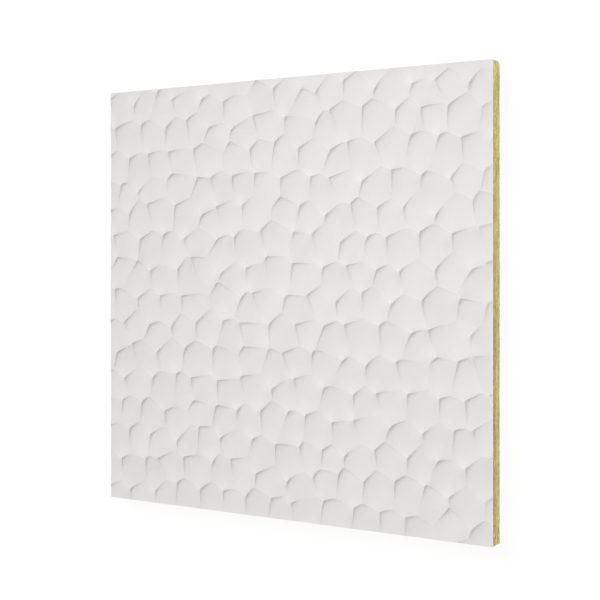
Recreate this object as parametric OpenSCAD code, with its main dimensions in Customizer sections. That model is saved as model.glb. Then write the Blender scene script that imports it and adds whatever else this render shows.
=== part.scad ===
// Square acoustic ceiling tile: a board of yellow-green wool with a white
// moulded facing bonded to it. The facing is covered with shallow scoops that
// meet in straight fine crests, and each has a peak at its upper left corner.
// The tile lies on its bare back, with the scooped face up.

/* [Tile] */
// Width of the tile, along X
tile_w = 600; // [300:1:1200]
// Length of the tile, along Y
tile_l = 600; // [300:1:1200]
// Thickness of the wool board
board_t = 22; // [12:0.1:50]
// Thickness of the facing at the bottom of its scoops
floor_t = 0.8; // [0.4:0.1:3]

/* [Relief] */
// Spacing of the scoops along a row
scoop_pitch = 40.8; // [30:0.1:60]
// Spacing of the rows of scoops
row_pitch = 40; // [30:0.1:60]
// Furthest that a scoop's middle strays from its place, along X and along Y
stray = 12; // [0:0.5:12.5]
// Height of the peak at each scoop's upper left corner
peak = 1.3; // [0.5:0.1:2.5]
// Distance from a peak at which it has fallen away
peak_reach = 38; // [15:1:42]
// Sharpness of a peak: 1 is a plain cone, more is a narrower point
peak_power = 2.2; // [1:0.1:4]
// Distance over which the wall under a peak falls to a third, into the scoop
wall_reach = 1.6; // [0.5:0.1:6]
// Rise of a scoop's dished floor, half a pitch from its middle
dish = 0.3; // [0.05:0.05:0.6]
// Number that picks the arrangement of the scoops
arrangement = 5; // [1:1:99]

/* [Wool board] */
// Size of the knocked corner at the back, at the tile's upper right
bruise = 4; // [0:0.5:10]

/* [Hidden] */
// Height of the highest crests above the bottom of the scoops: the press that
// moulds the facing is flat there, so no peak stands higher
relief = peak + 3 * dish;
tile_t = board_t + floor_t + relief;

// Columns and rows of scoops, enough to run past the tile's edges
columns = ceil(tile_w / scoop_pitch) + 3;
rows = ceil(tile_l / row_pitch) + 3;
// Steps to the scoops around one scoop, which bound it
around = [for (dj = [-2:2]) for (di = [-2:2]) if (di != 0 || dj != 0) [di, dj]];
// How many scoops away a peak may still reach, and the steps to all of those
far = ceil((peak_reach + 2 * stray) / min(scoop_pitch, row_pitch)) + 1;
in_reach = [for (dj = [-far:far]) for (di = [-far:far]) if (di != 0 || dj != 0) [di, dj]];
// Direction in which a scoop's corner is looked for that has the peak
to_peak = [-0.77, 0.64];
// The tile's four edges, as the outward normal and its distance
edges = [
    [[1, 0, 0], tile_w / 2], [[0, 1, 0], tile_l / 2],
    [[-1, 0, 0], tile_w / 2], [[0, -1, 0], tile_l / 2]
];
// Grain that coordinates are rounded to, so that neighbouring faces meet
grain = 0.0001;

// Repeatable number from -1 to 1 for scoop i of row j
function chance(i, j, k) =
    let (n = (i * 73 + j * 179 + k * 283 + arrangement * 37 + 11) % 1009,
         m = (n * n * 7 + n * 31 + i * j * 13 + 5) % 1009)
    2 * ((m * m + 17 * m + n) % 1009) / 1008 - 1;

// Middle of scoop i of row j: every other row is shifted by half a pitch, and
// the first whole row starts a quarter of a pitch in from the tile's top
function middle(i, j) = [
    (i - columns / 2 + (j % 2) / 2) * scoop_pitch + stray * chance(i, j, 1),
    tile_l / 2 + (1.25 - j) * row_pitch + stray * chance(i, j, 2)
];

// What is left of a flat outline on the near side of an edge: n * p <= d
function trim(outline, n, d) = [
    for (q = [0:1:len(outline) - 1])
        let (p = outline[q], r = outline[(q + 1) % len(outline)],
             over_p = n * p - d, over_r = n * r - d)
        each concat(
            over_p <= 0 ? [p] : [],
            over_p * over_r < 0 ? [p + (r - p) * over_p / (over_p - over_r)] : [])
];

// Outline of scoop i of row j: all that is nearer to its middle than to the
// middle of any scoop around it
function outline(i, j, k = 0) =
    let (a = middle(i, j))
    k == len(around)
        ? [for (c = [[-1, -1], [1, -1], [1, 1], [-1, 1]])
               a + [c[0] * scoop_pitch, c[1] * row_pitch] * 1.2]
        : let (b = middle(i + around[k][0], j + around[k][1]))
          trim(outline(i, j, k + 1), b - a, (b - a) * (a + b) / 2);

// Outlines of all scoops, and of those beyond the edges whose peaks may reach in
outlines = [for (j = [-far:rows + far]) [for (i = [-far:columns + far]) outline(i, j)]];

// Corner of each outline that lies furthest towards its peak
peaks = [for (row = outlines) [for (crest = row)
    let (reach = [for (c = crest) c * to_peak])
    crest[search(max(reach), reach)[0]]]];

// Height at p of the peak of scoop i of row j
function bump(p, i, j) =
    peak * pow(max(0, 1 - norm(p - peaks[j + far][i + far]) / peak_reach), peak_power);

function product(list, k = 0) = k == len(list) ? 1 : list[k] * product(list, k + 1);

// Share of its own peak that is left at p in scoop i of row j: whole on the
// crests, and falling away from each of them into the scoop
function wall(p, i, j) =
    let (a = middle(i, j))
    1 - product([for (s = around)
        let (b = middle(i + s[0], j + s[1]),
             inside = max(0, (b - a) * ((a + b) / 2 - p) / norm(b - a)))
        1 - exp(-inside / wall_reach)]);

// Height of the face at p, in scoop i of row j: its dished floor, the peaks of
// the scoops around, and its own peak, which falls away into it as a wall
function face_z(p, i, j) =
    let (others = [for (s = in_reach) bump(p, i + s[0], j + s[1])],
         out = norm(p - middle(i, j)) / (scoop_pitch / 2))
    tile_t - relief + min(relief,
        dish * out * out + others * [for (s = others) 1]
        + bump(p, i, j) * wall(p, i, j));

// A triangle or four-sided face cut off at the tile's edges
function within(face, k = 0) =
    k == len(edges) || len(face) < 3
        ? face
        : within(trim(face, edges[k][0], edges[k][1]), k + 1);

// Facets of scoop i of row j: a fan over its floor, and a band of wall from
// there up to the crests
function facets(i, j) =
    let (corners = outlines[j + far][i + far], n = len(corners) * 2, a = middle(i, j),
         crest = [for (q = [0:len(corners) - 1])
             each [corners[q], (corners[q] + corners[(q + 1) % len(corners)]) / 2]],
         lift = function (p) [p[0], p[1], face_z(p, i, j)],
         top = [for (p = crest) lift(p)],
         foot = [for (p = crest) lift(a + (p - a) * 0.86)],
         floor_middle = lift(a))
    [for (q = [0:n - 1])
        let (r = (q + 1) % n)
        each [[floor_middle, foot[q], foot[r]], [foot[q], top[q], top[r]],
              [foot[q], top[r], foot[r]]]];

// Whether two points lie on one edge of the tile
function on_edge(p, r) =
    max([for (e = edges) min(e[0] * p, e[0] * r) - e[1]]) > -grain / 2;

// Same point on the back of the facing
function drop(p) = [p[0], p[1], board_t];

function snap(p) = [for (v = p) round(v / grain) * grain];

module wool_board() {
    corner = [tile_w / 2, tile_l / 2, 0];
    color([0.75, 0.71, 0.45])
        difference() {
            translate([-tile_w / 2, -tile_l / 2, 0])
                cube([tile_w, tile_l, board_t]);
            if (bruise > 0)
                translate(corner)
                    rotate([0, 0, 45])
                        rotate([0, atan(sqrt(2)), 0])
                            translate([-bruise / sqrt(3), -bruise * 2, -bruise * 2])
                                cube(bruise * 4);
        }
}

module facing() {
    top = [for (j = [0:rows]) for (i = [0:columns]) for (f = facets(i, j))
        let (face = within(f)) if (len(face) > 2) [for (p = face) snap(p)]];
    rim = [for (f = top) for (q = [0:len(f) - 1])
        let (p = f[q], r = f[(q + 1) % len(f)]) if (on_edge(p, r) && p != r) [p, r]];
    walls = [for (e = rim) [e[1], e[0], drop(e[0]), drop(e[1])]];
    back = [for (e = rim) [drop(e[1]), drop(e[0]), [0, 0, board_t]]];
    shell = concat(top, walls, back);
    color([0.92, 0.92, 0.91])
        polyhedron(
            points = [for (f = shell) each f],
            faces = [for (k = 0, s = 0; k < len(shell); s = s + len(shell[k]), k = k + 1)
                [for (q = [len(shell[k]) - 1:-1:0]) s + q]],
            convexity = 4);
}

wool_board();
facing();
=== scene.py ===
import math

import bpy
import numpy as np
from mathutils import Matrix, Vector


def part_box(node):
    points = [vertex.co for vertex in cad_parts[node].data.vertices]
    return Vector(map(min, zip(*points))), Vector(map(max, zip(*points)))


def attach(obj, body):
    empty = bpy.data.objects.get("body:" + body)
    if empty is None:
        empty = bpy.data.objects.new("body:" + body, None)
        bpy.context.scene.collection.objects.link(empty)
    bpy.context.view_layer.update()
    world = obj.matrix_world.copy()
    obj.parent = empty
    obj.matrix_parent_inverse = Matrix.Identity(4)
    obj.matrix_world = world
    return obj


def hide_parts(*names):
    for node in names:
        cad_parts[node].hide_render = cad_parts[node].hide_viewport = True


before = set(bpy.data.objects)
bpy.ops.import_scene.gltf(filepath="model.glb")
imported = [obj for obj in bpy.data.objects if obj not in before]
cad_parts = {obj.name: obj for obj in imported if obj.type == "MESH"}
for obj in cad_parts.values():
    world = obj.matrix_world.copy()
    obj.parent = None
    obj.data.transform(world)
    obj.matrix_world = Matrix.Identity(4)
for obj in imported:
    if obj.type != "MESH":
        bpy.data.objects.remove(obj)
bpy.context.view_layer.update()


# The studio floor, on which the tile lies: a plain pale sheet. To the camera
# and to reflections it is close to white, and it keeps the tile's shadow.
floor_mesh = bpy.data.meshes.new("floor")
floor_mesh.from_pydata([(-9, -9, 0), (9, -9, 0), (9, 9, 0), (-9, 9, 0)], [], [(0, 1, 2, 3)])
floor = bpy.data.objects.new("floor", floor_mesh)
floor.location.z = -0.0002      # a hair below the tile's back
bpy.context.scene.collection.objects.link(floor)

paper = bpy.data.materials.new("floor paper")
paper.use_nodes = True
tree = paper.node_tree
sheen = tree.nodes["Principled BSDF"]
sheen.inputs["Base Color"].default_value = (0.86, 0.86, 0.86, 1)
sheen.inputs["Roughness"].default_value = 0.9
sheen.inputs["Specular IOR Level"].default_value = 0.1


def in_view(tree):
    """1 where a surface is seen by the camera, in a reflection or through glass, else 0."""
    rays = tree.nodes.new("ShaderNodeLightPath")
    seen = rays.outputs["Is Camera Ray"]
    for kind in ("Is Glossy Ray", "Is Transmission Ray"):
        either = tree.nodes.new("ShaderNodeMath")
        either.operation = "MAXIMUM"
        tree.links.new(seen, either.inputs[0])
        tree.links.new(rays.outputs[kind], either.inputs[1])
        seen = either.outputs[0]
    return seen


share = tree.nodes.new("ShaderNodeMath")
share.operation = "MULTIPLY"
share.inputs[1].default_value = 0.91
tree.links.new(in_view(tree), share.inputs[0])
white = tree.nodes.new("ShaderNodeEmission")
white.inputs["Color"].default_value = (1, 1, 1, 1)
white.inputs["Strength"].default_value = 1.03
blend = tree.nodes.new("ShaderNodeMixShader")
tree.links.new(share.outputs[0], blend.inputs["Fac"])
tree.links.new(sheen.outputs[0], blend.inputs[1])
tree.links.new(white.outputs[0], blend.inputs[2])
tree.links.new(blend.outputs[0], tree.nodes["Material Output"].inputs["Surface"])
floor_mesh.materials.append(paper)


# The studio light: an even white room, a broad soft lamp far off at the tile's
# upper left that rakes over the scoops, and a small one near by, above its upper
# right. Two strip lamps by the floor, lower than the face, light the sawn sides.
room = bpy.data.worlds.new("room")
room.use_nodes = True
tree = room.node_tree
as_light = tree.nodes["Background"]
as_light.inputs["Color"].default_value = (1, 1, 1, 1)
as_light.inputs["Strength"].default_value = 0.226
as_seen = tree.nodes.new("ShaderNodeBackground")
as_seen.inputs["Color"].default_value = (1, 1, 1, 1)
as_seen.inputs["Strength"].default_value = 1
chosen = tree.nodes.new("ShaderNodeMixShader")
tree.links.new(in_view(tree), chosen.inputs["Fac"])
tree.links.new(as_light.outputs[0], chosen.inputs[1])
tree.links.new(as_seen.outputs[0], chosen.inputs[2])
tree.links.new(chosen.outputs[0], tree.nodes["World Output"].inputs["Surface"])
bpy.context.scene.world = room


def lamp(name, kind, place, strength, **size):
    """A lamp at `place` that looks at the origin, unseen itself."""
    data = bpy.data.lights.new(name, kind)
    data.energy = strength
    for what, value in size.items():
        setattr(data, what, value)
    item = bpy.data.objects.new(name, data)
    item.location = place
    item.rotation_euler = Vector(place).to_track_quat("Z", "Y").to_euler()
    item.visible_camera = False
    bpy.context.scene.collection.objects.link(item)


# The raking lamp stands at an angle round the tile, and at one off its face's normal.
round_it, off_it = math.radians(132), math.radians(55.5)
rake_place = (
    3 * math.cos(round_it) * math.sin(off_it),
    3 * math.sin(round_it) * math.sin(off_it),
    3 * math.cos(off_it))
lamp("rake", "SUN", rake_place, 3.57, angle=math.radians(55))
lamp("near", "AREA", (0.2, 0.2, 0.72), 0.82, shape="SQUARE", size=0.4)
lamp("low strip right", "AREA", (0.75, 0, 0.011), 2.66, shape="RECTANGLE", size=1.4, size_y=0.018)
lamp("low strip below", "AREA", (0, -0.75, 0.011), 2.5, shape="RECTANGLE", size=1.4, size_y=0.018)


# The camera, as in the photo: 60 degrees above the face, off its right side,
# with the tile's top edge up. The face's four corners in the photo give its
# lens, its place and its axes.
camera_data = bpy.data.cameras.new("camera")
camera_data.sensor_width = 36
camera_data.lens = 70.344
camera_data.shift_y = -0.073
camera_data.clip_start = 0.05
camera_data.clip_end = 50
camera = bpy.data.objects.new("camera", camera_data)
across = Vector((0.863066, 0, -0.505091))
back_of_camera = Vector((0.505091, 0, 0.863066))
turn = Matrix((across, Vector((0, 1, 0)), back_of_camera)).transposed().to_4x4()
camera.matrix_world = Matrix.Translation((0.82295, 0.05772, 1.3859)) @ turn
bpy.context.scene.collection.objects.link(camera)
bpy.context.scene.camera = camera
bpy.context.scene.view_settings.view_transform = "Standard"


# The facing: one skin of stiff white moulded sheet, bonded to the board over
# its whole back. Its scoops lie in staggered rows, strayed from their places, and
# meet in straight fine crests. Each drops from a peak at its upper left corner.
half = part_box("facing")[1].x        # half of the tile's side
face_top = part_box("facing")[1].z    # the highest crests
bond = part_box("facing")[0].z        # where the facing meets the wool
scoop_pitch = 0.0408                # spacing of the scoops along a row
row_pitch = 0.0400                  # spacing of the rows
stray = 0.0120                      # furthest that a scoop's middle strays, along X and along Y
peak = 0.0013                       # height of a peak
peak_power = 2.2                    # sharpness of a peak: 1 is a plain cone
peak_reach = 0.0403                 # how far a peak spreads, on average
uneven = 0.425                      # share of peak_reach by which the peaks' spread differs
wall_reach = 0.0016                 # distance over which the wall under a peak falls to a third
dish = 0.0003                       # rise of a dished floor, half a pitch from its middle
relief = peak + 3 * dish            # height of the highest crests above the bottom of the scoops
blunt, blunt_reach = 0.0022, 0.006  # how far a rounded corner is drawn in, and how far round it
edge_reach = 0.006                  # distance from the cut edges over which the rounding sets in
arrangement = 5                     # number that picks the arrangement of the scoops
columns, rows = 18, 18              # enough to run past the tile's edges


def chance(i, j, k):
    """Repeatable number from -1 to 1: remainders on division by a prime."""
    n = np.fmod(i * 73 + j * 179 + k * 283 + arrangement * 37 + 11, 1009)
    m = np.fmod(n * n * 7 + n * 31 + i * j * 13 + 5, 1009)
    return 2 * np.fmod(m * m + 17 * m + n, 1009) / 1008 - 1


def middle(i, j):
    """Middle of scoop i of row j: its place in the staggered rows, and how far it strays."""
    x = (i - columns / 2 + np.fmod(j, 2) / 2) * scoop_pitch + stray * chance(i, j, 1)
    y = half + (1.25 - j) * row_pitch + stray * chance(i, j, 2)
    return np.stack([x, y], -1)


def crossings(normal, reach):
    """Corners of the flat outlines that the lines normal * p = reach bound.

    A corner is where two of the lines cross and no other line cuts it off.
    They come back in order round each outline, the last repeated as filling,
    with the middle of each outline's corners and their number.
    """
    tiny = 1e-9
    beyond = 9.0    # metres or radians, further than anything here
    one, two = np.triu_indices(normal.shape[1], 1)
    x, y = normal[..., 0], normal[..., 1]
    cross = x[:, one] * y[:, two] - y[:, one] * x[:, two]
    cross = np.where(np.abs(cross) < tiny, np.nan, cross)
    p = np.stack([
        reach[:, one] * y[:, two] - reach[:, two] * y[:, one],
        reach[:, two] * x[:, one] - reach[:, one] * x[:, two]], -1) / cross[..., None]
    over = np.einsum("cpx,clx->cpl", np.nan_to_num(p, nan=beyond), normal) - reach[:, None]
    kept = over.max(-1) < tiny
    count = kept.sum(-1)
    found = np.where(kept[..., None], p, 0.0)
    centre = found.sum(1) / np.maximum(count, 1)[:, None]
    away = found - centre[:, None]
    angle = np.where(kept, np.arctan2(away[..., 1], away[..., 0]), beyond)
    most = count.max()
    order = np.argsort(angle, 1)[:, :most]
    last = order[np.arange(len(order)), count - 1]
    order = np.where(np.arange(most) < count[:, None], order, last[:, None])
    return np.take_along_axis(found, order[..., None], 1), centre, count


# Steps to the 24 scoops round a scoop, which bound it.
step = np.array([(a, b) for b in range(-2, 3) for a in range(-2, 3) if a or b])


def crest_lines(i, j):
    """Lines halfway between each scoop's middle and those of the scoops round it.

    Each is given as its normal, away from the scoop, and its distance from the
    origin along it.
    """
    a = middle(i, j)[:, None]
    b = middle(i[:, None] + step[:, 0], j[:, None] + step[:, 1])
    length = np.linalg.norm(b - a, axis=-1)
    normal = (b - a) / length[..., None]
    return normal, (normal * (a + b) / 2).sum(-1)


# The peak of each scoop is the corner of its outline that lies furthest to
# the upper left. A peak may reach up to `far` scoops away, so that the scoops
# round the tile whose peaks may reach in count too.
far = math.ceil((peak_reach * (1 + uneven) + 2 * stray) / min(scoop_pitch, row_pitch)) + 1
in_reach = [(a, b) for b in range(-far, far + 1) for a in range(-far, far + 1)]
all_rows, all_columns = np.mgrid[-far : rows + far + 1, -far : columns + far + 1].astype(float)
corner, _, _ = crossings(*crest_lines(all_columns.ravel(), all_rows.ravel()))
upper_left = np.array([-0.77, 0.64])
furthest = (corner @ upper_left).argmax(1)
tips = corner[np.arange(len(corner)), furthest].reshape(*all_rows.shape, 2)


def tip(i, j):
    """Where the peak of scoop i of row j stands."""
    return tips[(j + far).astype(int), (i + far).astype(int)]


def spread(i, j):
    """How far the peak of scoop i of row j spreads: peak_reach, give or take up to `uneven` of it."""
    return peak_reach * (1 + uneven * chance(i, j, 4))


def face_height(p, i, j):
    """Height of the face at points p of scoop i of row j.

    The dished floor rises with the square of the distance from the middle.
    Peaks stand at the upper left corners of this scoop and those round it, as
    bumps of height peak * (1 - away / spread) ^ peak_power. This scoop's own
    one is whole on its crests and falls away from each of them as
    exp(-distance / wall_reach), which makes its wall. The sum ends at relief.
    """
    normal, reach = crest_lines(i, j)
    inside = np.maximum(0, reach[:, None] - np.einsum("cpx,clx->cpl", p, normal))
    wall = 1 - np.prod(1 - np.exp(-inside / wall_reach), -1)
    out = np.linalg.norm(p - middle(i, j)[:, None], axis=-1)
    total = dish * (out / (scoop_pitch / 2)) ** 2
    for a, b in in_reach:
        away = np.linalg.norm(p - tip(i + a, j + b)[:, None], axis=-1)
        bump = peak * np.maximum(0, 1 - away / spread(i + a, j + b)[:, None]) ** peak_power
        total = total + bump * (1 if a or b else wall)
    return face_top - relief + np.minimum(relief, total)


def rounded(p, i, j):
    """Where points p of scoop i of row j lie once the corners under the peaks are rounded.

    A peak draws the points round it to the lower right, by blunt * its share *
    exp(-(away / blunt_reach)^2). Half of the peaks have a share, from 0 to 1.
    The move fades out within edge_reach of the tile's cut edges, which stay.
    """
    moved = np.zeros(p.shape)
    for a, b in in_reach:
        away = np.linalg.norm(p - tip(i + a, j + b)[:, None], axis=-1)
        share = np.maximum(0, chance(i + a, j + b, 3))[:, None]
        moved = moved - (blunt * share * np.exp(-(away / blunt_reach) ** 2))[..., None] * upper_left
    inside = half - np.abs(p).max(-1)
    return p + moved * (1 - np.exp(-(inside / edge_reach) ** 2))[..., None]


# The scoops that lie on the tile, cut off at its edges.
edge_normal = np.array([[1.0, 0], [0, 1], [-1, 0], [0, -1]])
row, column = np.mgrid[0 : rows + 1, 0 : columns + 1].reshape(2, -1).astype(float)
normal, reach = crest_lines(column, row)
normal = np.concatenate([normal, np.broadcast_to(edge_normal, (len(row), 4, 2))], 1)
reach = np.concatenate([reach, np.full((len(row), 4), half)], 1)
corner, centre, count = crossings(normal, reach)
on_tile = count > 2
corner, centre, column, row = corner[on_tile], centre[on_tile], column[on_tile], row[on_tile]

# Each scoop is a grid, round its outline and outwards from its centre, whose
# points lie closer together towards the corners and the crests.
per_edge = 7
following = np.roll(corner, -1, 1)
part = (1 - np.cos(np.pi * np.arange(per_edge)[:, None] / per_edge)) / 2
outline = (corner[:, :, None] + (following - corner)[:, :, None] * part).reshape(len(corner), -1, 2)
outward = np.array([0, 0.3, 0.52, 0.68, 0.79, 0.87, 0.92, 0.955, 0.98, 1])
flat = centre[:, None, None] + outward[:, None, None] * (outline - centre[:, None])[:, None]
flat = flat.reshape(len(corner), -1, 2)
height = face_height(flat, column, row)
face = np.concatenate([rounded(flat, column, row), height[..., None]], -1)

scoops, around = len(corner), outline.shape[1]
index = np.arange(scoops * len(outward) * around).reshape(scoops, len(outward), around)
beside = np.roll(index, -1, 2)
a, b, c, d = index[:, :-1], beside[:, :-1], beside[:, 1:], index[:, 1:]
triangles = np.concatenate([
    np.stack([a, d, c], -1).reshape(-1, 3),
    np.stack([a, c, b], -1).reshape(-1, 3)])

# The four cut edges, down from the face to the bond line, and the flat back.
points = face.reshape(-1, 3)
rim_a, rim_b = index[:, -1].ravel(), beside[:, -1].ravel()
almost_out = half - 1e-7
on_rim = np.zeros(len(rim_a), bool)
for edge in edge_normal:
    on_rim |= (points[rim_a, :2] @ edge > almost_out) & (points[rim_b, :2] @ edge > almost_out)
rim_a, rim_b = rim_a[on_rim], rim_b[on_rim]
low_a = points[rim_a] * [1, 1, 0] + [0, 0, bond]
low_b = points[rim_b] * [1, 1, 0] + [0, 0, bond]
size, many = len(points), len(rim_a)
points = np.concatenate([points, low_a, low_b, [[0, 0, bond]]])
at_a, at_b = size + np.arange(many), size + many + np.arange(many)
middle_of_back = np.full(many, size + 2 * many)
triangles = np.concatenate([
    triangles,
    np.stack([rim_b, rim_a, at_a], -1), np.stack([rim_b, at_a, at_b], -1),
    np.stack([at_b, at_a, middle_of_back], -1)])


def closed_mesh(name, points, triangles):
    """A mesh in which equal points are one vertex, and no triangle has two equal corners.

    Points are equal when they round to the same millionth of a metre. The first
    of them in `points` gives the vertex, and its place there comes back too.
    """
    rounded_off = np.round(points * 1e6).astype(np.int64)
    _, first, same = np.unique(rounded_off, axis=0, return_index=True, return_inverse=True)
    triangles = same.reshape(-1)[triangles]
    real = (triangles != np.roll(triangles, 1, 1)).all(1)
    mesh = bpy.data.meshes.new(name)
    mesh.from_pydata(points[first], [], triangles[real])
    mesh.update()
    return mesh, first


facing_mesh, first = closed_mesh("facing_skin", points, triangles)
facing_mesh.shade_smooth()
facing_mesh.set_sharp_from_angle(angle=math.radians(40))
facing = bpy.data.objects.new("facing_skin", facing_mesh)
bpy.context.scene.collection.objects.link(facing)
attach(facing, "root")
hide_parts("facing")

# How far out each point is from its scoop's centre, 1 on the crests.
how_far_out = np.zeros(len(points))
how_far_out[:size] = np.broadcast_to(outward[:, None], (scoops, len(outward), around)).ravel()
facing_mesh.attributes.new("crest", "FLOAT", "POINT").data.foreach_set("value", how_far_out[first])


def between(sockets, name, kind, low=None, high=None, value=None, out=False):
    """One named socket of a node group, with its value and its limits where they are given."""
    made = sockets.new_socket(name=name, in_out="OUTPUT" if out else "INPUT", socket_type=kind)
    if value is not None:
        made.default_value, made.min_value, made.max_value = value, low, high


def grain_group():
    """Grain and cloudiness over Object coordinates, both from 0 to 1.

    Grain is noise about Size metres across, pressed Flatness times thinner
    along Z. Clouds are such noise twelve times as large, and a little smoother.
    """
    group = bpy.data.node_groups.new("grain", "ShaderNodeTree")
    between(group.interface, "Place", "NodeSocketVector")
    between(group.interface, "Size", "NodeSocketFloat", 0.00001, 1, 0.001)
    between(group.interface, "Flatness", "NodeSocketFloat", 0.01, 100, 1.0)
    between(group.interface, "Grain", "NodeSocketFloat", out=True)
    between(group.interface, "Clouds", "NodeSocketFloat", out=True)
    add, link = group.nodes.new, group.links.new
    start, end = add("NodeGroupInput"), add("NodeGroupOutput")
    fine = add("ShaderNodeMath")
    fine.operation = "DIVIDE"
    fine.inputs[0].default_value = 1
    link(start.outputs["Size"], fine.inputs[1])
    pressed = add("ShaderNodeCombineXYZ")
    pressed.inputs["X"].default_value = pressed.inputs["Y"].default_value = 1
    link(start.outputs["Flatness"], pressed.inputs["Z"])
    flat_place = add("ShaderNodeVectorMath")
    flat_place.operation = "MULTIPLY"
    link(start.outputs["Place"], flat_place.inputs[0])
    link(pressed.outputs[0], flat_place.inputs[1])
    near = add("ShaderNodeVectorMath")
    near.operation = "SCALE"
    link(flat_place.outputs[0], near.inputs[0])
    link(fine.outputs[0], near.inputs["Scale"])
    wide = add("ShaderNodeVectorMath")
    wide.operation = "SCALE"
    wide.inputs["Scale"].default_value = 1 / 12
    link(near.outputs[0], wide.inputs[0])
    for spot, detail, out in ((near, 3, "Grain"), (wide, 2, "Clouds")):
        noise = add("ShaderNodeTexNoise")
        noise.inputs["Scale"].default_value = 1
        noise.inputs["Detail"].default_value = detail
        noise.inputs["Roughness"].default_value = 0.6
        link(spot.outputs[0], noise.inputs["Vector"])
        link(noise.outputs["Fac"], end.inputs[out])
    return group


grain = grain_group()

# The facing's finish: matt white, with a very fine tooth and the faintest
# clouds. Its crests carry a painted highlight, and its sawn edges are creamy.
white_sheet = bpy.data.materials.new("white facing")
white_sheet.use_nodes = True
add, link = white_sheet.node_tree.nodes.new, white_sheet.node_tree.links.new
skin = white_sheet.node_tree.nodes["Principled BSDF"]
skin.inputs["Roughness"].default_value = 0.85
skin.inputs["Specular IOR Level"].default_value = 0.12
place = add("ShaderNodeTexCoord")
tooth = add("ShaderNodeGroup")
tooth.node_tree = grain
tooth.inputs["Size"].default_value = 0.0011
link(place.outputs["Object"], tooth.inputs["Place"])

white_tones = add("ShaderNodeMix")
white_tones.data_type = "RGBA"
white_tones.inputs["A"].default_value = (0.755, 0.741, 0.726, 1)
white_tones.inputs["B"].default_value = (0.785, 0.774, 0.762, 1)
link(tooth.outputs["Clouds"], white_tones.inputs["Factor"])

# Painted highlight on the crests, a paler white standing in for light: near a scoop's outline, and
# where the relief is high.
crest_value = add("ShaderNodeAttribute")
crest_value.attribute_name = "crest"
crest_mask = add("ShaderNodeMapRange")
crest_mask.interpolation_type = "SMOOTHSTEP"
crest_mask.inputs["From Min"].default_value = 0.965
crest_mask.inputs["From Max"].default_value = 1.0
link(crest_value.outputs["Fac"], crest_mask.inputs["Value"])
split = add("ShaderNodeSeparateXYZ")
link(place.outputs["Object"], split.inputs[0])
crest_height = add("ShaderNodeMapRange")
crest_height.interpolation_type = "SMOOTHSTEP"
crest_height.inputs["From Min"].default_value = face_top - 0.0017
crest_height.inputs["From Max"].default_value = face_top - 0.0006
crest_height.inputs["To Max"].default_value = 0.6
link(split.outputs["Z"], crest_height.inputs["Value"])
crest_highlight_share = add("ShaderNodeMath")
crest_highlight_share.operation = "MULTIPLY"
link(crest_mask.outputs["Result"], crest_highlight_share.inputs[0])
link(crest_height.outputs["Result"], crest_highlight_share.inputs[1])
# The painted crest highlight itself: a paler white mixed in on the high crests.
crest_highlight_tones = add("ShaderNodeMix")
crest_highlight_tones.data_type = "RGBA"
crest_highlight_tones.inputs["B"].default_value = (0.88, 0.87, 0.86, 1)
link(crest_highlight_share.outputs[0], crest_highlight_tones.inputs["Factor"])
link(white_tones.outputs["Result"], crest_highlight_tones.inputs["A"])

# Sawn edge: where X or Y is at the tile's side.
sides = []
for axis in ("X", "Y"):
    side = add("ShaderNodeMath")
    side.operation = "ABSOLUTE"
    link(split.outputs[axis], side.inputs[0])
    sides.append(side)
outermost = add("ShaderNodeMath")
outermost.operation = "MAXIMUM"
link(sides[0].outputs[0], outermost.inputs[0])
link(sides[1].outputs[0], outermost.inputs[1])
sawn = add("ShaderNodeMapRange")
sawn.inputs["From Min"].default_value = half - 0.00006
sawn.inputs["From Max"].default_value = half - 0.00001
link(outermost.outputs[0], sawn.inputs["Value"])
sawn_tones = add("ShaderNodeMix")
sawn_tones.data_type = "RGBA"
sawn_tones.inputs["B"].default_value = (0.74, 0.66, 0.46, 1)
link(sawn.outputs["Result"], sawn_tones.inputs["Factor"])
link(crest_highlight_tones.outputs["Result"], sawn_tones.inputs["A"])
link(sawn_tones.outputs["Result"], skin.inputs["Base Color"])

tooth_bump = add("ShaderNodeBump")
tooth_bump.inputs["Strength"].default_value = 0.25
tooth_bump.inputs["Distance"].default_value = 0.00006
link(tooth.outputs["Grain"], tooth_bump.inputs["Height"])
link(tooth_bump.outputs["Normal"], skin.inputs["Normal"])
facing_mesh.materials.append(white_sheet)


# The board: glass wool pressed into a stiff slab and sawn to size, bonded to
# the facing's flat back. Its sawn sides show the layers as long soft ridges,
# its edges are worn round, and one corner of its back is knocked in.
slab_low, slab_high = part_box("wool_board")
thick = slab_high.z - slab_low.z
worn = 0.0007               # radius of the worn edges
deepest = 0.0018            # most that the wool is sunk in, the knocked corner aside
spring = 0.0008             # how much further out the wool stands at its back than at the facing
knock = 0.004               # how far along each edge the knocked corner reaches
knock_blur = 0.0006         # distance over which the knocked corner's edge turns


def tangle(p, along, through, seed):
    """Soft unevenness from about -1 to 1 at points p.

    A sum of sine waves whose directions, lengths and phases are drawn by
    chance: about `along` long over the board, and `through` in its thickness.
    It is divided by about twice its usual size.
    """
    waves, twice_usual = 60, 11
    draw = np.random.default_rng(seed)
    turn = draw.uniform(0, 2 * math.pi, waves)
    number = 2 * math.pi / (along * draw.uniform(0.6, 1.8, waves))
    wave = np.stack([number * np.cos(turn), number * np.sin(turn),
                     2 * math.pi / through * draw.uniform(-1.3, 1.3, waves)], -1)
    phase = draw.uniform(0, 2 * math.pi, waves)
    total = np.sin(p.reshape(-1, 3) @ wave.T + phase).sum(-1)
    return total.reshape(p.shape[:-1]) / twice_usual


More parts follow.
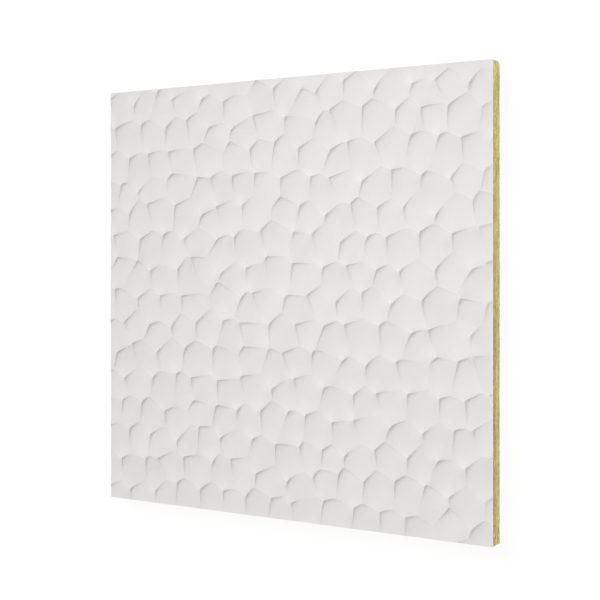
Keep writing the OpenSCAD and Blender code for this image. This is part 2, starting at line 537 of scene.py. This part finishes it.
# One surface of two parameters: round the board, and from the middle of its
# back outwards, up its side, and in over its top to the middle again.
per_side = 240
run = np.linspace(-1, 1, per_side, endpoint=False)
one = np.ones(per_side)
around_board = np.concatenate([
    np.stack([one, run], -1), np.stack([-run, one], -1),
    np.stack([-one, -run], -1), np.stack([run, -one], -1)])
out_over_back = np.linspace(0, 1, 42)[:-1] ** 0.8
up_side = np.linspace(0, 1, 21)
in_over_top = np.array([0.5, 0])
across_part = np.concatenate([out_over_back, np.ones(len(up_side)), in_over_top])
height_part = np.concatenate([0 * out_over_back, up_side, 1 + 0 * in_over_top])
level = (slab_low.z + thick * height_part)[:, None, None]
box_point = np.concatenate([
    half * across_part[:, None, None] * around_board,
    np.broadcast_to(level, (len(level), 4 * per_side, 1))], -1)

# The worn edges: every point stands on a smaller core, `worn` away from it. It
# is sunk between the layers' ridges and along the bond line on the sides, and
# in dents on the back. Towards the back it then springs out.
core_low = [worn - half, worn - half, slab_low.z + worn]
core_high = [half - worn, half - worn, slab_high.z]
core = np.clip(box_point, core_low, core_high)
away = box_point - core
from_core = np.linalg.norm(away, axis=-1, keepdims=True)
outwards = away / np.maximum(from_core, 1e-9)
side_share = np.linalg.norm(outwards[..., :2], axis=-1)
ridges = (0.00045 + 0.00030 * tangle(box_point, 0.030, 0.0040, 11)
          + 0.00022 * tangle(box_point, 0.007, 0.0022, 12))
dents = (0.00032 + 0.00018 * tangle(box_point, 0.045, 0.05, 13)
         + 0.00014 * tangle(box_point, 0.010, 0.02, 14))
bond_line = 0.0007 * np.exp(-((slab_high.z - box_point[..., 2]) / 0.0011) ** 2)
sunk = side_share * (ridges + bond_line) + (1 - side_share) * dents
wool_point = core + outwards * (np.minimum(from_core, worn) - np.clip(sunk, 0, deepest)[..., None])
towards_back = (slab_high.z - box_point[..., 2:]) / thick
wool_point = wool_point + outwards * [1, 1, 0] * spring * towards_back

# The knocked corner: points within `knock` of it, measured along the three
# edges together, are pushed in evenly, with a torn edge.
corner_of_back = np.array([half, half, slab_low.z])
inwards = np.array([-1, -1, 1])
left = ((wool_point - corner_of_back) * inwards).sum(-1)
torn = knock * (1 + 0.2 * tangle(box_point, 0.006, 0.005, 15))
push = knock_blur * np.logaddexp(0, (torn - left) / knock_blur) / 3
wool_point = wool_point + np.where(left < 3 * knock, push, 0)[..., None] * inwards

ring = np.arange(len(across_part) * 4 * per_side).reshape(len(across_part), 4 * per_side)
ring_next = np.roll(ring, -1, 1)
a, b, c, d = ring[:-1], ring_next[:-1], ring_next[1:], ring[1:]
wool_triangles = np.concatenate([
    np.stack([a, b, c], -1).reshape(-1, 3),
    np.stack([a, c, d], -1).reshape(-1, 3)])
wool_mesh, _ = closed_mesh("wool_body", wool_point.reshape(-1, 3), wool_triangles)
wool_mesh.shade_smooth()
wool_body = bpy.data.objects.new("wool_body", wool_mesh)
bpy.context.scene.collection.objects.link(wool_body)
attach(wool_body, "root")
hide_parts("wool_board")

# The wool's finish: yellow-green fibres bound with resin, with thin darker and
# paler layers along the sawn sides. It is more golden away from the tile's top,
# and darker there close to the facing.
fleece_material = bpy.data.materials.new("wool")
fleece_material.use_nodes = True
add, link = fleece_material.node_tree.nodes.new, fleece_material.node_tree.links.new
fleece = fleece_material.node_tree.nodes["Principled BSDF"]
fleece.inputs["Roughness"].default_value = 0.95
fleece.inputs["Specular IOR Level"].default_value = 0.2
fleece.inputs["Sheen Weight"].default_value = 0.15
fleece.inputs["Sheen Roughness"].default_value = 0.6
fleece.inputs["Sheen Tint"].default_value = (0.95, 0.90, 0.60, 1)
place = add("ShaderNodeTexCoord")


def wool_grain(size, flatness):
    """The grain group at one size in this material."""
    node = add("ShaderNodeGroup")
    node.node_tree = grain
    node.inputs["Size"].default_value = size
    node.inputs["Flatness"].default_value = flatness
    link(place.outputs["Object"], node.inputs["Place"])
    return node


def weighed(one, one_share, other, other_share):
    """one * one_share + other * other_share"""
    first_part, total = add("ShaderNodeMath"), add("ShaderNodeMath")
    first_part.operation, total.operation = "MULTIPLY", "MULTIPLY_ADD"
    first_part.inputs[1].default_value = one_share
    total.inputs[1].default_value = other_share
    link(one, first_part.inputs[0])
    link(other, total.inputs[0])
    link(first_part.outputs[0], total.inputs[2])
    return total.outputs[0]


layers = wool_grain(0.024, 12)
fibres = wool_grain(0.0045, 6)
felt = wool_grain(0.0013, 1)
lie = weighed(layers.outputs["Grain"], 0.55, fibres.outputs["Grain"], 0.45)
tone = weighed(lie, 0.75, felt.outputs["Grain"], 0.25)
wool_tones = add("ShaderNodeValToRGB")
ramp = wool_tones.color_ramp.elements
ramp[0].position, ramp[0].color = 0.39, (0.277, 0.244, 0.064, 1)
ramp[1].position, ramp[1].color = 0.60, (0.780, 0.774, 0.406, 1)
golden = ramp.new(0.47)
golden.color = (0.494, 0.452, 0.133, 1)
straw = ramp.new(0.53)
straw.color = (0.604, 0.569, 0.198, 1)
link(tone, wool_tones.inputs["Fac"])

# Short darker streaks over the layers.
dashes = wool_grain(0.0065, 5)
dash_mask = add("ShaderNodeMapRange")
dash_mask.interpolation_type = "SMOOTHSTEP"
dash_mask.inputs["From Min"].default_value = 0.54
dash_mask.inputs["From Max"].default_value = 0.68
link(dashes.outputs["Grain"], dash_mask.inputs["Value"])
dashed = add("ShaderNodeMix")
dashed.data_type = "RGBA"
dashed.blend_type = "MULTIPLY"
dashed.inputs["B"].default_value = (0.62, 0.56, 0.44, 1)
link(dash_mask.outputs["Result"], dashed.inputs["Factor"])
link(wool_tones.outputs["Color"], dashed.inputs["A"])

# More golden from the tile's top downwards.
split = add("ShaderNodeSeparateXYZ")
link(place.outputs["Object"], split.inputs[0])
from_top = add("ShaderNodeMapRange")
from_top.inputs["From Min"].default_value = 0.30
from_top.inputs["From Max"].default_value = -0.05
from_top.inputs["To Min"].default_value = 0.15
from_top.inputs["To Max"].default_value = 1.0
link(split.outputs["Y"], from_top.inputs["Value"])
warmer = add("ShaderNodeMix")
warmer.data_type = "RGBA"
warmer.blend_type = "MULTIPLY"
warmer.inputs["B"].default_value = (0.985, 0.885, 0.855, 1)
link(from_top.outputs["Result"], warmer.inputs["Factor"])
link(dashed.outputs["Result"], warmer.inputs["A"])

# Darker within 15 mm of the facing, and the more so away from the tile's top.
near_face = add("ShaderNodeMapRange")
near_face.interpolation_type = "SMOOTHSTEP"
near_face.inputs["From Min"].default_value = slab_high.z - 0.015
near_face.inputs["From Max"].default_value = slab_high.z
link(split.outputs["Z"], near_face.inputs["Value"])
darker_share = add("ShaderNodeMath")
darker_share.operation = "MULTIPLY"
link(near_face.outputs["Result"], darker_share.inputs[0])
link(from_top.outputs["Result"], darker_share.inputs[1])
darker_near_face = add("ShaderNodeMix")
darker_near_face.data_type = "RGBA"
darker_near_face.blend_type = "MULTIPLY"
darker_near_face.inputs["B"].default_value = (0.53, 0.53, 0.60, 1)
link(darker_share.outputs[0], darker_near_face.inputs["Factor"])
link(warmer.outputs["Result"], darker_near_face.inputs["A"])
link(darker_near_face.outputs["Result"], fleece.inputs["Base Color"])

fluff = weighed(lie, 0.6, felt.outputs["Grain"], 0.4)
fluff_bump = add("ShaderNodeBump")
fluff_bump.inputs["Strength"].default_value = 0.9
fluff_bump.inputs["Distance"].default_value = 0.0012
link(fluff, fluff_bump.inputs["Height"])
link(fluff_bump.outputs["Normal"], fleece.inputs["Normal"])
wool_mesh.materials.append(fleece_material)
